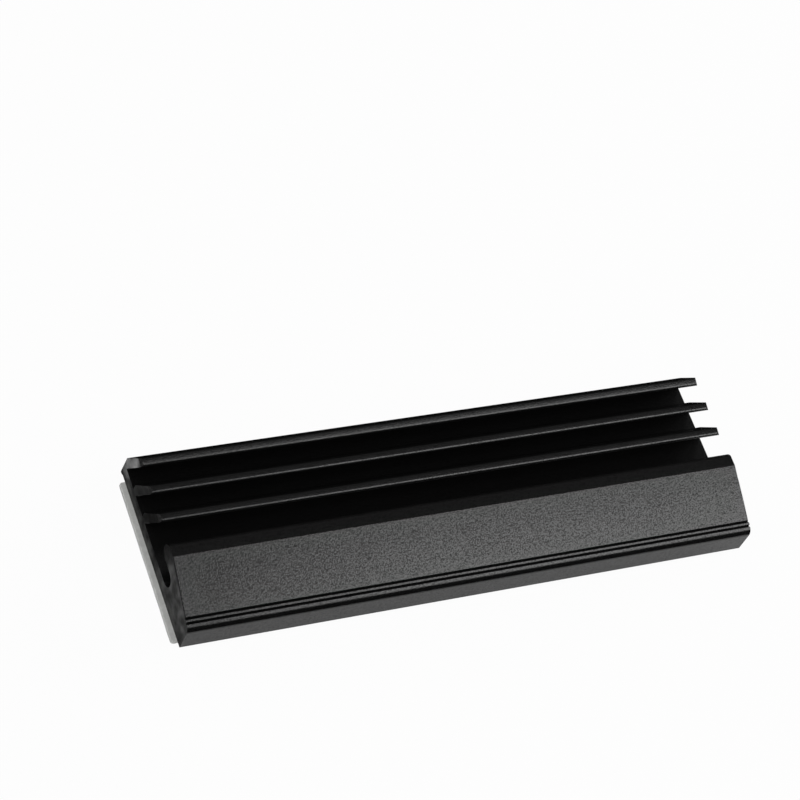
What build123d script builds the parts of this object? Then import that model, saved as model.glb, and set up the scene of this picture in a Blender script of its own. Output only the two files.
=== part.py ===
from build123d import *
import math
import os

# Heat sink for a solid-state drive card: one aluminium extrusion on a soft
# thermal pad. Millimetres, +Z up. X runs along the extrusion, -Y is the front
# with the slanted face, +Y is the back with the outer fin. The origin is on
# the surface that the pad rests on, under the middle of the part.
# An inset is a distance back from the front edge, and a height is measured
# from the underside of the extrusion.

# Extrusion
LENGTH = 70.0
WIDTH = 21.7
HEIGHT = 6.1
FIN_END_BREAK = 0.25
BLOCK_END_BREAK = 0.12

# Base strip, with a small lip under its back edge that the pad stops short of
FLOOR_HEIGHT = 1.6
LIP_WIDTH = 0.3
LIP_DEPTH = 0.2
BASE_EDGE_RADIUS = 0.08

# Fins, numbered from the back, which all lean to the front above a short
# upright back wall
FIN_COUNT = 3
FIN_PITCH = 3.42
FIN_TOP = 5.92
FIN_TIP_WIDTH = 0.92
FIN_TIP_SLOPES = (16.0, 12.0, 12.0)
FIN_TIP_CROWN = 0.02
FIN_TIP_FRONT_RADIUS = 0.28
FIN_TIP_BACK_RADIUS = 0.2
FIN_BACK_LEAN = 31.2
FIN_FRONT_LEAN = 28.0
FIN_SHOULDER_HEIGHT = 2.45
FIN_SHOULDER_RADIUS = 0.6
FIN_ROOT_RADIUS = 0.06
OUTER_FIN_TRIM = 0.17

# Front block, with a slanted and slightly crowned face and a level crest
FRONT_FACE_LEAN = 2.0
NOSE_RADIUS = 1.0
FACE_SLOPE = 17.8
FACE_CROWN = 0.05
CREST_INSET = 7.75
CREST_RADIUS = 0.6
BLOCK_TIP_INSET = 9.65

# Round channel that runs in under the block's tip
CHANNEL_RADIUS = 1.13
CHANNEL_CENTRE_INSET = 7.05

# Two V grooves along the foot of the face, behind the rounded nose
GROOVE_INSETS = (0.87, 1.36)
GROOVE_DEPTH = 0.25
GROOVE_HALF_ANGLE = 30.0

# Thermal pad
PAD_THICKNESS = 0.5
PAD_END_OVERHANG = 0.7
PAD_FRONT_INSET = 0.7
PAD_BACK_INSET = 1.35
PAD_CORNER_RADIUS = 0.4
PAD_EDGE_RADIUS = 0.12

FRONT = -WIDTH / 2
BACK = WIDTH / 2
CORE_HEIGHT = FLOOR_HEIGHT / 2


def slope(angle):
    """Sideways run for each millimetre of height, for a lean in degrees."""
    return math.tan(math.radians(angle))


def rounded(section, points, radius):
    """The section with its corners nearest to the given points rounded."""
    corners = [section.vertices().sort_by_distance(Vector(*point))[0] for point in points]
    return fillet(corners, radius)


def base_profile():
    """Flat strip from under the front block to the back, with the small lip under its back edge."""
    start = FRONT + CHANNEL_CENTRE_INSET - CHANNEL_RADIUS
    strip = Polyline(
        (start, 0),
        (BACK - 2 * LIP_WIDTH, 0),
        (BACK - LIP_WIDTH, -LIP_DEPTH),
        (BACK, -LIP_DEPTH),
        (BACK, FLOOR_HEIGHT),
        (start, FLOOR_HEIGHT),
        close=True,
    )
    return make_face(strip)


def fin_corners(number):
    """Corners of one fin: back foot, shoulder, the two tip corners, front root and foot."""
    back = BACK + OUTER_FIN_TRIM - number * FIN_PITCH
    tip_back = back - (FIN_TOP - FIN_SHOULDER_HEIGHT) * slope(FIN_BACK_LEAN)
    tip_front = tip_back - FIN_TIP_WIDTH
    tip_front_height = FIN_TOP - FIN_TIP_WIDTH * slope(FIN_TIP_SLOPES[number])
    front_root = tip_front + (tip_front_height - FLOOR_HEIGHT) * slope(FIN_FRONT_LEAN)
    return [
        (back, CORE_HEIGHT),
        (back, FIN_SHOULDER_HEIGHT),
        (tip_back, FIN_TOP),
        (tip_front, tip_front_height),
        (front_root, FLOOR_HEIGHT),
        (front_root, CORE_HEIGHT),
    ]


def fin_profile(number):
    """One leaning fin, from inside the base strip to its slightly crowned tip."""
    foot, shoulder, tip_back, tip_front, root, root_foot = fin_corners(number)
    with BuildSketch() as profile:
        with BuildLine():
            Polyline(tip_front, root, root_foot, foot, shoulder, tip_back)
            SagittaArc(tip_front, tip_back, FIN_TIP_CROWN)
        make_face()
    return profile.sketch


def face_height(inset):
    """Height of the slanted face's straight chord at an inset."""
    return HEIGHT - (CREST_INSET - inset) / slope(90 - FACE_SLOPE)


def nose_corner():
    """Where the front face and the slanted face would meet, before the nose is rounded."""
    lean = slope(FRONT_FACE_LEAN)
    height = face_height(0) / (1 - lean / slope(90 - FACE_SLOPE))
    return (FRONT + height * lean, height)


def block_profile():
    """Front block, whose back edge is the round channel and the rounded tip."""
    ceiling = FLOOR_HEIGHT + 2 * CHANNEL_RADIUS
    channel = FRONT + CHANNEL_CENTRE_INSET
    tip = FRONT + BLOCK_TIP_INSET
    tip_radius = (HEIGHT - ceiling) / 2
    crest = (FRONT + CREST_INSET, HEIGHT)
    with BuildSketch() as profile:
        with BuildLine():
            Polyline((channel, 0), (FRONT, 0), nose_corner())
            SagittaArc(nose_corner(), crest, FACE_CROWN)
            Line(crest, (tip - tip_radius, HEIGHT))
            ThreePointArc(
                (tip - tip_radius, HEIGHT),
                (tip, HEIGHT - tip_radius),
                (tip - tip_radius, ceiling),
            )
            Line((tip - tip_radius, ceiling), (channel, ceiling))
            ThreePointArc(
                (channel, ceiling),
                (channel - CHANNEL_RADIUS, ceiling - CHANNEL_RADIUS),
                (channel, FLOOR_HEIGHT),
            )
            Line((channel, FLOOR_HEIGHT), (channel, 0))
        make_face()
    return profile.sketch


def groove_profile(inset):
    """V groove that is cut square into the slanted face."""
    half_width = 2 * GROOVE_DEPTH * slope(GROOVE_HALF_ANGLE)
    cutter = Polyline(
        (0, -GROOVE_DEPTH),
        (half_width, GROOVE_DEPTH),
        (-half_width, GROOVE_DEPTH),
        close=True,
    )
    return Pos(FRONT + inset, face_height(inset)) * Rot(0, 0, FACE_SLOPE) * make_face(cutter)


def section_profile():
    """The whole section of the extrusion, as it leaves the die."""
    section = base_profile() + block_profile()
    for number in range(FIN_COUNT):
        section += fin_profile(number)
    section &= Rectangle(WIDTH, 4 * HEIGHT)

    fins = [fin_corners(number) for number in range(FIN_COUNT)]
    section = rounded(section, [fin[1] for fin in fins], FIN_SHOULDER_RADIUS)
    section = rounded(section, [fin[2] for fin in fins], FIN_TIP_BACK_RADIUS)
    section = rounded(section, [fin[3] for fin in fins], FIN_TIP_FRONT_RADIUS)
    section = rounded(section, [fin[4] for fin in fins], FIN_ROOT_RADIUS)
    section = rounded(section, [(FRONT + CREST_INSET, HEIGHT)], CREST_RADIUS)
    section = rounded(section, [nose_corner()], NOSE_RADIUS)
    base_edges = [(FRONT, 0), (BACK, -LIP_DEPTH), (BACK - LIP_WIDTH, -LIP_DEPTH)]
    section = rounded(section, base_edges, BASE_EDGE_RADIUS)

    for inset in GROOVE_INSETS:
        section -= groove_profile(inset)
    return section


def end_break(start, end, size, side):
    """Square bar on edge along one top line of a cut, which breaks that line at 45 degrees."""
    line = Vector(0, *end) - Vector(0, *start)
    middle = (Vector(0, *end) + Vector(0, *start)) / 2 + Vector(side * LENGTH / 2, 0, 0)
    bar = Box(size * math.sqrt(2), size * math.sqrt(2), line.length + size)
    return Plane(middle, x_dir=(1, 0, 0), z_dir=line.normalized()) * Rot(0, 0, 45) * bar


def top_lines():
    """Start, end and break of each top line of the section: the face, the crest and the fins' tips."""
    face_foot = (FRONT + GROOVE_INSETS[-1], face_height(GROOVE_INSETS[-1]))
    crest = (FRONT + CREST_INSET, HEIGHT)
    block_tip = (FRONT + BLOCK_TIP_INSET, HEIGHT)
    lines = [(face_foot, crest, BLOCK_END_BREAK), (crest, block_tip, BLOCK_END_BREAK)]
    fins = [fin_corners(number) for number in range(FIN_COUNT)]
    return lines + [(fin[3], fin[2], FIN_END_BREAK) for fin in fins]


def heat_sink():
    """The extrusion cut to length, with the top edges of both cuts broken."""
    body = extrude(Plane.YZ * section_profile(), LENGTH / 2, both=True)
    for start, end, size in top_lines():
        for side in (-1, 1):
            body -= end_break(start, end, size, side)
    return body


def thermal_pad():
    """Soft pad under the base, a little longer and narrower than it."""
    length = LENGTH + 2 * PAD_END_OVERHANG
    width = WIDTH - PAD_FRONT_INSET - PAD_BACK_INSET
    centre = (PAD_FRONT_INSET - PAD_BACK_INSET) / 2
    outline = Pos(0, centre) * RectangleRounded(length, width, PAD_CORNER_RADIUS)
    pad = extrude(outline, PAD_THICKNESS)
    return fillet(pad.faces().sort_by(Axis.Z)[-1].edges(), PAD_EDGE_RADIUS)


os.makedirs("parts", exist_ok=True)
export_step(Pos(0, 0, PAD_THICKNESS) * heat_sink(), "parts/heat_sink.step")
export_step(thermal_pad(), "parts/thermal_pad.step")
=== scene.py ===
import math

import bmesh
import bpy
from mathutils import Matrix, Vector, noise


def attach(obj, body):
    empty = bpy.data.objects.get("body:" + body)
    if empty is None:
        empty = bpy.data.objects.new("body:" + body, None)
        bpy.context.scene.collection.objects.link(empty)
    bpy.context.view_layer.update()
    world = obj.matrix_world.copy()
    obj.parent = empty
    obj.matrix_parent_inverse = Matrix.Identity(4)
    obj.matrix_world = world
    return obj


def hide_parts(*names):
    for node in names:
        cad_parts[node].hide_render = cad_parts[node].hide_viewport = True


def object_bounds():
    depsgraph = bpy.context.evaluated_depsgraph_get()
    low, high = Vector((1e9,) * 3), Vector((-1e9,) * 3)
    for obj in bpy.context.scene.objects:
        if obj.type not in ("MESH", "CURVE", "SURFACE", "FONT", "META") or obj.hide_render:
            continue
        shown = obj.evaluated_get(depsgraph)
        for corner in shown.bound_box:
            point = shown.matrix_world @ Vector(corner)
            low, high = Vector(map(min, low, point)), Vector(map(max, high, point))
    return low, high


# Looks of a black anodised heat sink on a soft thermal pad. The frame is in
# metres: X along the extrusion, -Y to the slanted front face, Z up.
MM = 0.001

# Camera, which looks down on the front left end. Azimuth 0 would look along +Y.
CAMERA_AIM = Vector((-1.30, 13.13, 3.30)) * MM
CAMERA_DISTANCE = 318.2 * MM
CAMERA_AZIMUTH = -45.98
CAMERA_ELEVATION = 52.93
CAMERA_ROLL = 31.47
CAMERA_LENS = 126.6
CAMERA_SENSOR = 36.0
CAMERA_NEAR = 10 * MM
CAMERA_FAR = 20.0

# White floor. A lift of 1 makes it pure white to the camera or in reflections.
FLOOR_SIZE = 4.0
FLOOR_DROP = 0.02 * MM
FLOOR_SHADE = 0.78
CAMERA_LIFT = 0.96
REFLECTED_LIFT = 0.25

# Cards that show in the object's reflections alone, as painted reflections. Upright
# black ones in front and behind paint dark reflections that keep its rounded edges dark,
# level black mats behind and to the left paint the floor's shadow into the fins'
# reflections, and a glowing one at the back left paints a bright reflection on the outer fin's
# end.
FRONT_CARD_GAP = 4.5 * MM
FRONT_CARD_HEIGHT = 6.4 * MM
BACK_CARD_GAP = 13 * MM
BACK_CARD_HEIGHT = 11.5 * MM
CARD_WIDTH = 300 * MM
PAINTED_BLACK_SHADE = 0.003
PAINTED_SHEET_REACH = 13 * MM
LEFT_PAINTED_SHADOW_FRONT = -0.7 * MM
LEFT_PAINTED_SHADOW_BACK = 10 * MM
PAINTED_REFLECTION_GLOW = 1.9

# Studio around it: white up to an elevation in degrees, and dark from a higher one
WORLD_DARK = 0.1
WORLD_WHITE = 1.0
WORLD_WHITE_TOP = 6.0
WORLD_DARK_FROM = 9.0

# Softboxes: place, the direction that its back faces, width, height in metres,
# and brightness, where 1 is as bright as white paper
KEY_LIGHT = ((0.48, -0.315, 0.517), (0, -0.5, 0.87), 0.56, 0.567, 2.52)
SIDE_LIGHT = ((0.58, 0.10, 0.16), (0.94, 0.17, 0.26), 0.3, 0.25, 9.0)
FILL_LIGHT = ((-0.32, -0.10, 0.50), (-0.53, -0.17, 0.83), 0.6, 0.6, 1.25)
BACK_LIGHT = ((-0.10, 0.50, 0.36), (-0.16, 0.80, 0.58), 0.3, 0.3, 1.5)

# Noise lies around 0.5, so a narrower range of it gives a harder pattern.
# Black anodised sides, as a metal whose own mirror is dark: blasted grain, whose
# dark grains are rougher than the light ones, under fine lines from the die
METALLIC = 0.9
DARK_SHADE = 0.014
LIGHT_SHADE = 0.071
GRAIN_SIZE = 0.16 * MM
GRAIN_HEIGHT = 0.013 * MM
GRAIN_SHADE_RANGE = (0.34, 0.56)
GRAIN_ROUGHNESS_RANGE = (0.36, 0.64)
DARK_GRAIN_ROUGHNESS = 0.25
LIGHT_GRAIN_ROUGHNESS = 0.14
DIE_LINE_SIZE = 0.12 * MM
DIE_LINE_STRETCH = 60.0
DIE_LINE_HEIGHT = 0.001 * MM

# Sawn ends, with soft blotches between two shares of the way from dark to light, and darker than
# the sides on the whole: partly a real cut finish, partly painted shade for the shadowed floor
# they mirror
END_NORMAL_RANGE = (0.6, 0.9)
BLOTCH_SIZE = 1.6 * MM
BLOTCH_RANGE = (0.35, 0.65)
BLOTCH_AND_PAINTED_SHADES = (0.15, 0.8)
BLOTCH_ROUGHNESSES = (0.62, 0.34)

# Thermal pad, as cut from a soft sheet. It repeats the frame's outline.
PAD_LENGTH = 71.4 * MM
PAD_WIDTH = 19.65 * MM
PAD_CENTRE_Y = -0.325 * MM
PAD_THICKNESS = 0.5 * MM
PAD_CORNER_RADIUS = 0.4 * MM
PAD_CORNER_STEPS = 6
PAD_STEP = 0.3 * MM

# Its edge: inset in millimetres at shares of the thickness, and waves per metre
PAD_EDGE = ((0.08, 0.0), (0.02, 0.1), (0.0, 0.3), (0.0, 0.7), (0.02, 0.9), (0.08, 1.0))
PAD_WAVE_DEPTH = 0.07 * MM
PAD_LONG_WAVES = 400.0
PAD_SHORT_WAVES = 1700.0

# Its filled silicone
PAD_DARK = (0.74, 0.75, 0.725, 1)
PAD_LIGHT = (0.88, 0.89, 0.865, 1)
PAD_NOISE_RANGE = (0.3, 0.7)
PAD_MOTTLE_SIZE = 0.8 * MM
PAD_GRAIN_SIZE = 0.09 * MM
PAD_GRAIN_HEIGHT = 0.008 * MM
PAD_ROUGHNESSES = (0.55, 0.75)
DIMPLE_SIZE = 0.9 * MM
DIMPLE_DISORDER = 0.15
DIMPLE_HEIGHT = 0.02 * MM


def grey(shade):
    """Colour of an even grey."""
    return (shade, shade, shade, 1)


def new_material(name):
    """Empty node material, its node tree and its output node."""
    material = bpy.data.materials.new(name)
    material.use_nodes = True
    tree = material.node_tree
    tree.nodes.clear()
    output = tree.nodes.new("ShaderNodeOutputMaterial")
    return material, tree, output


def connect(tree, value, socket):
    """Link an output to a socket, or set the socket to a plain value."""
    if isinstance(value, bpy.types.NodeSocket):
        tree.links.new(value, socket)
    else:
        socket.default_value = value


def math_node(tree, operation, first, second=None):
    """Output of a math node whose inputs are sockets or numbers."""
    node = tree.nodes.new("ShaderNodeMath")
    node.operation = operation
    connect(tree, first, node.inputs[0])
    if second is not None:
        connect(tree, second, node.inputs[1])
    return node.outputs[0]


def noise_texture(tree, size, detail=2.0, roughness=0.5, stretch=1.0):
    """Noise of 0 to 1 with lumps of a size in metres, stretched along X."""
    coordinate = tree.nodes.new("ShaderNodeTexCoord")
    mapping = tree.nodes.new("ShaderNodeMapping")
    mapping.inputs["Scale"].default_value = (1 / (size * stretch), 1 / size, 1 / size)
    texture = tree.nodes.new("ShaderNodeTexNoise")
    texture.inputs["Scale"].default_value = 1.0
    texture.inputs["Detail"].default_value = detail
    texture.inputs["Roughness"].default_value = roughness
    tree.links.new(coordinate.outputs["Object"], mapping.inputs["Vector"])
    tree.links.new(mapping.outputs[0], texture.inputs["Vector"])
    return texture.outputs[0]


def dimple_texture(tree):
    """Nearly even grid of round dimples, 0 at the middle of each."""
    coordinate = tree.nodes.new("ShaderNodeTexCoord")
    dimples = tree.nodes.new("ShaderNodeTexVoronoi")
    dimples.inputs["Scale"].default_value = 1 / DIMPLE_SIZE
    dimples.inputs["Randomness"].default_value = DIMPLE_DISORDER
    tree.links.new(coordinate.outputs["Object"], dimples.inputs["Vector"])
    return dimples.outputs["Distance"]


def ramp(tree, value, low, high, start=0.0, end=1.0):
    """Value mapped from low-high to start-end, and held there beyond."""
    node = tree.nodes.new("ShaderNodeMapRange")
    node.inputs["From Min"].default_value = low
    node.inputs["From Max"].default_value = high
    node.inputs["To Min"].default_value = start
    node.inputs["To Max"].default_value = end
    tree.links.new(value, node.inputs["Value"])
    return node.outputs["Result"]


def mix_numbers(tree, factor, first, second):
    """First where the factor is 0 and second where it is 1."""
    node = tree.nodes.new("ShaderNodeMix")
    for index, value in ((0, factor), (2, first), (3, second)):
        connect(tree, value, node.inputs[index])
    return node.outputs[0]


def mix_colours(tree, factor, first, second):
    """First colour where the factor is 0 and second where it is 1."""
    node = tree.nodes.new("ShaderNodeMix")
    node.data_type = "RGBA"
    for index, value in ((0, factor), (6, first), (7, second)):
        connect(tree, value, node.inputs[index])
    return node.outputs[2]


def bump(tree, height, distance, normal=None):
    """Normal bumped by a height of 0 to 1 that stands for a distance in metres."""
    node = tree.nodes.new("ShaderNodeBump")
    node.inputs["Strength"].default_value = 1.0
    node.inputs["Distance"].default_value = distance
    tree.links.new(height, node.inputs["Height"])
    if normal is not None:
        tree.links.new(normal, node.inputs["Normal"])
    return node.outputs[0]


def sawn_end(tree):
    """1 on the two cut ends, which face along X, and 0 on the extruded sides."""
    coordinate = tree.nodes.new("ShaderNodeTexCoord")
    split = tree.nodes.new("ShaderNodeSeparateXYZ")
    tree.links.new(coordinate.outputs["Normal"], split.inputs[0])
    along = math_node(tree, "ABSOLUTE", split.outputs["X"])
    return ramp(tree, along, *END_NORMAL_RANGE)


def make_camera():
    """Camera that looks at its aim from the azimuth and elevation, then rolled."""
    azimuth = math.radians(CAMERA_AZIMUTH)
    elevation = math.radians(CAMERA_ELEVATION)
    back = Vector(
        (
            math.sin(azimuth) * math.cos(elevation),
            -math.cos(azimuth) * math.cos(elevation),
            math.sin(elevation),
        )
    )
    camera = bpy.data.objects.new("camera", bpy.data.cameras.new("camera"))
    bpy.context.scene.collection.objects.link(camera)
    unrolled = (-back).to_track_quat("-Z", "Y").to_matrix()
    roll = Matrix.Rotation(math.radians(CAMERA_ROLL), 3, "Z")
    place = Matrix.Translation(CAMERA_AIM + back * CAMERA_DISTANCE)
    camera.matrix_world = place @ (unrolled @ roll).to_4x4()
    camera.data.lens = CAMERA_LENS
    camera.data.sensor_width = CAMERA_SENSOR
    camera.data.clip_start = CAMERA_NEAR
    camera.data.clip_end = CAMERA_FAR
    bpy.context.scene.camera = camera


def floor_material():
    """White floor, lifted for the camera and in reflections, so that its shadow stays pale."""
    material, tree, output = new_material("white_floor")
    paper = tree.nodes.new("ShaderNodeBsdfDiffuse")
    paper.inputs["Color"].default_value = grey(FLOOR_SHADE)
    glow = tree.nodes.new("ShaderNodeEmission")
    path = tree.nodes.new("ShaderNodeLightPath")
    seen = math_node(tree, "MULTIPLY", path.outputs["Is Camera Ray"], CAMERA_LIFT)
    mirrored = math_node(
        tree, "MAXIMUM", path.outputs["Is Glossy Ray"], path.outputs["Is Transmission Ray"]
    )
    mirrored = math_node(tree, "MULTIPLY", mirrored, REFLECTED_LIFT)
    lift = math_node(tree, "MAXIMUM", seen, mirrored)
    mix = tree.nodes.new("ShaderNodeMixShader")
    tree.links.new(lift, mix.inputs["Fac"])
    tree.links.new(paper.outputs[0], mix.inputs[1])
    tree.links.new(glow.outputs[0], mix.inputs[2])
    tree.links.new(mix.outputs[0], output.inputs["Surface"])
    return material


def painted_dark_material():
    """Painted black of the cards and mats: dark reflections, and the floor's shadow in
    reflections.
    """
    material, tree, output = new_material("painted_dark_reflection")
    painted_black = tree.nodes.new("ShaderNodeBsdfDiffuse")
    painted_black.inputs["Color"].default_value = grey(PAINTED_BLACK_SHADE)
    tree.links.new(painted_black.outputs[0], output.inputs["Surface"])
    return material


def painted_glow_material():
    """Even glow of the bright card: a painted bright reflection that lights nothing."""
    material, tree, output = new_material("painted_bright_reflection")
    glow = tree.nodes.new("ShaderNodeEmission")
    glow.inputs["Strength"].default_value = PAINTED_REFLECTION_GLOW
    tree.links.new(glow.outputs[0], output.inputs["Surface"])
    return material


def make_sheet(name, corners, material):
    """Flat four-cornered sheet of the stage."""
    mesh = bpy.data.meshes.new(name)
    mesh.from_pydata(corners, [], [(0, 1, 2, 3)])
    mesh.materials.append(material)
    sheet = bpy.data.objects.new(name, mesh)
    bpy.context.scene.collection.objects.link(sheet)
    return sheet


def make_card(name, corners, material):
    """Sheet that shows in the object's reflections alone, as a painted reflection."""
    card = make_sheet(name, corners, material)
    card.visible_camera = False
    card.visible_diffuse = False
    card.visible_shadow = False


def upright(left, right, y, height):
    """Corners of an upright sheet."""
    return [(left, y, 0), (right, y, 0), (right, y, height), (left, y, height)]


def level(left, right, front, back, z):
    """Corners of a level sheet."""
    return [(left, front, z), (right, front, z), (right, back, z), (left, back, z)]


def make_stage(lowest, highest):
    """Floor, and the cards and mats of painted reflections and painted shadow, around the box of
    the object.
    """
    half = FLOOR_SIZE / 2
    make_sheet("floor", level(-half, half, -half, half, -FLOOR_DROP), floor_material())

    black = painted_dark_material()
    side = CARD_WIDTH / 2
    front = lowest.y - FRONT_CARD_GAP
    # Upright black cards: painted dark reflections in front of and behind the object
    make_card("card_front", upright(-side, side, front, FRONT_CARD_HEIGHT), black)
    back = highest.y + BACK_CARD_GAP
    make_card("card_back", upright(-side, side, back, BACK_CARD_HEIGHT), black)

    left = lowest.x - PAINTED_SHEET_REACH
    right = highest.x + PAINTED_SHEET_REACH
    z = -FLOOR_DROP / 2
    # Black mats: painted shadow of the floor behind and left of the object, seen in its
    # reflections alone
    make_card("painted_shadow_back", level(lowest.x, right, 0, back, z), black)
    make_card("painted_shadow_left", level(left, lowest.x, LEFT_PAINTED_SHADOW_FRONT, LEFT_PAINTED_SHADOW_BACK, z), black)
    # Glowing sheet: a painted bright reflection on the outer fin's end, lighting nothing
    make_card("painted_reflection_left", level(left, lowest.x, LEFT_PAINTED_SHADOW_BACK, back, z), painted_glow_material())


def make_world():
    """Plain studio: white around the horizon, dark above."""
    world = bpy.data.worlds.new("studio")
    bpy.context.scene.world = world
    world.use_nodes = True
    tree = world.node_tree
    tree.nodes.clear()
    output = tree.nodes.new("ShaderNodeOutputWorld")
    background = tree.nodes.new("ShaderNodeBackground")
    coordinate = tree.nodes.new("ShaderNodeTexCoord")
    split = tree.nodes.new("ShaderNodeSeparateXYZ")
    tree.links.new(coordinate.outputs["Generated"], split.inputs[0])
    low = math.sin(math.radians(WORLD_WHITE_TOP))
    high = math.sin(math.radians(WORLD_DARK_FROM))
    strength = ramp(tree, split.outputs["Z"], low, high, WORLD_WHITE, WORLD_DARK)
    tree.links.new(strength, background.inputs["Strength"])
    tree.links.new(background.outputs[0], output.inputs["Surface"])


def make_softbox(name, place, towards, width, height, brightness):
    """Rectangular lamp whose back faces along towards, away from the object."""
    light = bpy.data.lights.new(name, "AREA")
    light.shape = "RECTANGLE"
    light.size = width
    light.size_y = height
    light.energy = brightness * math.pi * width * height
    lamp = bpy.data.objects.new(name, light)
    bpy.context.scene.collection.objects.link(lamp)
    lamp.location = place
    lamp.rotation_euler = Vector(towards).to_track_quat("Z", "Y").to_euler()


def anodised_material():
    """Satin black with a fine blasted grain, die lines along X, and blotches on the ends, whose
    darker colour is partly painted shade.
    """
    material, tree, output = new_material("black_anodised")
    shader = tree.nodes.new("ShaderNodeBsdfPrincipled")
    tree.links.new(shader.outputs[0], output.inputs["Surface"])
    shader.inputs["Metallic"].default_value = METALLIC

    grain = noise_texture(tree, GRAIN_SIZE, 3.0, 0.65)
    die_lines = noise_texture(tree, DIE_LINE_SIZE, 2.0, 0.6, DIE_LINE_STRETCH)
    blotches = noise_texture(tree, BLOTCH_SIZE)
    end = sawn_end(tree)

    side_shade = ramp(tree, grain, *GRAIN_SHADE_RANGE)
    # The ends' darker, blotched colour is partly a real cut finish and partly painted shade for
    # the shadowed floor that they mirror
    end_blotch_and_painted_shade = ramp(tree, blotches, *BLOTCH_RANGE, *BLOTCH_AND_PAINTED_SHADES)
    shade = mix_numbers(tree, end, side_shade, end_blotch_and_painted_shade)
    colour = mix_colours(tree, shade, grey(DARK_SHADE), grey(LIGHT_SHADE))
    tree.links.new(colour, shader.inputs["Base Color"])

    side_roughness = ramp(
        tree, grain, *GRAIN_ROUGHNESS_RANGE, DARK_GRAIN_ROUGHNESS, LIGHT_GRAIN_ROUGHNESS
    )
    end_roughness = ramp(tree, blotches, *BLOTCH_RANGE, *BLOTCH_ROUGHNESSES)
    roughness = mix_numbers(tree, end, side_roughness, end_roughness)
    tree.links.new(roughness, shader.inputs["Roughness"])

    normal = bump(tree, grain, GRAIN_HEIGHT)
    normal = bump(tree, die_lines, DIE_LINE_HEIGHT, normal)
    tree.links.new(normal, shader.inputs["Normal"])
    return material


def pad_material():
    """Matte filled silicone with a fine grain, and faint dimples from its liner."""
    material, tree, output = new_material("pad_silicone")
    shader = tree.nodes.new("ShaderNodeBsdfPrincipled")
    tree.links.new(shader.outputs[0], output.inputs["Surface"])

    grain = noise_texture(tree, PAD_GRAIN_SIZE, 3.0, 0.6)
    mottle = noise_texture(tree, PAD_MOTTLE_SIZE, 3.0, 0.6)
    colour = mix_colours(tree, ramp(tree, mottle, *PAD_NOISE_RANGE), PAD_DARK, PAD_LIGHT)
    tree.links.new(colour, shader.inputs["Base Color"])
    roughness = ramp(tree, grain, *PAD_NOISE_RANGE, *PAD_ROUGHNESSES)
    tree.links.new(roughness, shader.inputs["Roughness"])

    normal = bump(tree, grain, PAD_GRAIN_HEIGHT)
    normal = bump(tree, dimple_texture(tree), DIMPLE_HEIGHT, normal)
    tree.links.new(normal, shader.inputs["Normal"])
    return material


def pad_outline():
    """Points and outward directions around the pad's rounded rectangle."""
    half_length = PAD_LENGTH / 2 - PAD_CORNER_RADIUS
    half_width = PAD_WIDTH / 2 - PAD_CORNER_RADIUS
    corners = [(half_length, half_width), (-half_length, half_width)]
    corners += [(-half_length, -half_width), (half_length, -half_width)]
    points = []
    for number, (x, y) in enumerate(corners):
        for step in range(PAD_CORNER_STEPS + 1):
            angle = math.radians(90 * number + 90 * step / PAD_CORNER_STEPS)
            out = Vector((math.cos(angle), math.sin(angle), 0))
            points.append((Vector((x, y, 0)) + out * PAD_CORNER_RADIUS, out))
        following = corners[(number + 1) % len(corners)]
        end = Vector((*following, 0)) + out * PAD_CORNER_RADIUS
        start = points[-1][0]
        count = int((end - start).length / PAD_STEP)
        points += [(start.lerp(end, step / count), out) for step in range(1, count)]
    return points


def uneven_depth(point, share):
    """How far the cut edge lies back at a point, in waves that run on up the thickness."""
    long_wave = 0.5 + 0.5 * noise.noise(point * PAD_LONG_WAVES)
    short_wave = 0.25 + 0.25 * noise.noise(point * PAD_SHORT_WAVES + Vector((0, 0, share)))
    return (long_wave + short_wave) * PAD_WAVE_DEPTH


def make_pad(material):
    """Soft sheet with a slightly uneven cut edge that bulges under the heat sink."""
    outline = pad_outline()
    mesh = bmesh.new()
    rings = []
    for inset, share in PAD_EDGE:
        ring = []
        for point, out in outline:
            place = point - out * (inset * MM + uneven_depth(point, share))
            ring.append(mesh.verts.new((place.x, place.y + PAD_CENTRE_Y, share * PAD_THICKNESS)))
        rings.append(ring)
    for lower, upper in zip(rings, rings[1:]):
        for i in range(len(lower)):
            j = (i + 1) % len(lower)
            mesh.faces.new((lower[i], lower[j], upper[j], upper[i]))
    mesh.faces.new(list(reversed(rings[0])))
    mesh.faces.new(rings[-1])
    for face in mesh.faces:
        face.smooth = len(face.verts) == 4
    data = bpy.data.meshes.new("pad_soft")
    mesh.to_mesh(data)
    mesh.free()
    data.materials.append(material)
    pad = bpy.data.objects.new("pad_soft", data)
    bpy.context.scene.collection.objects.link(pad)
    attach(pad, "root")
    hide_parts("thermal_pad")


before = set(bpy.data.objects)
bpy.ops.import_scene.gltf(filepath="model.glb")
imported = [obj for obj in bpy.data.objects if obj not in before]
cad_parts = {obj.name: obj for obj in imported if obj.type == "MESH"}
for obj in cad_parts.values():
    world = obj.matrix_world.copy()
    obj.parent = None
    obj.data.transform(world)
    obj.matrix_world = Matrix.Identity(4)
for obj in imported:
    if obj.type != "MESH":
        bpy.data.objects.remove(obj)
cad_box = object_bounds()

make_camera()
make_stage(*cad_box)
make_world()
make_softbox("key", *KEY_LIGHT)
make_softbox("side", *SIDE_LIGHT)
make_softbox("fill", *FILL_LIGHT)
make_softbox("back", *BACK_LIGHT)

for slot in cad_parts["heat_sink"].material_slots:
    slot.material = anodised_material()
make_pad(pad_material())

bpy.context.scene.view_settings.view_transform = "Standard"
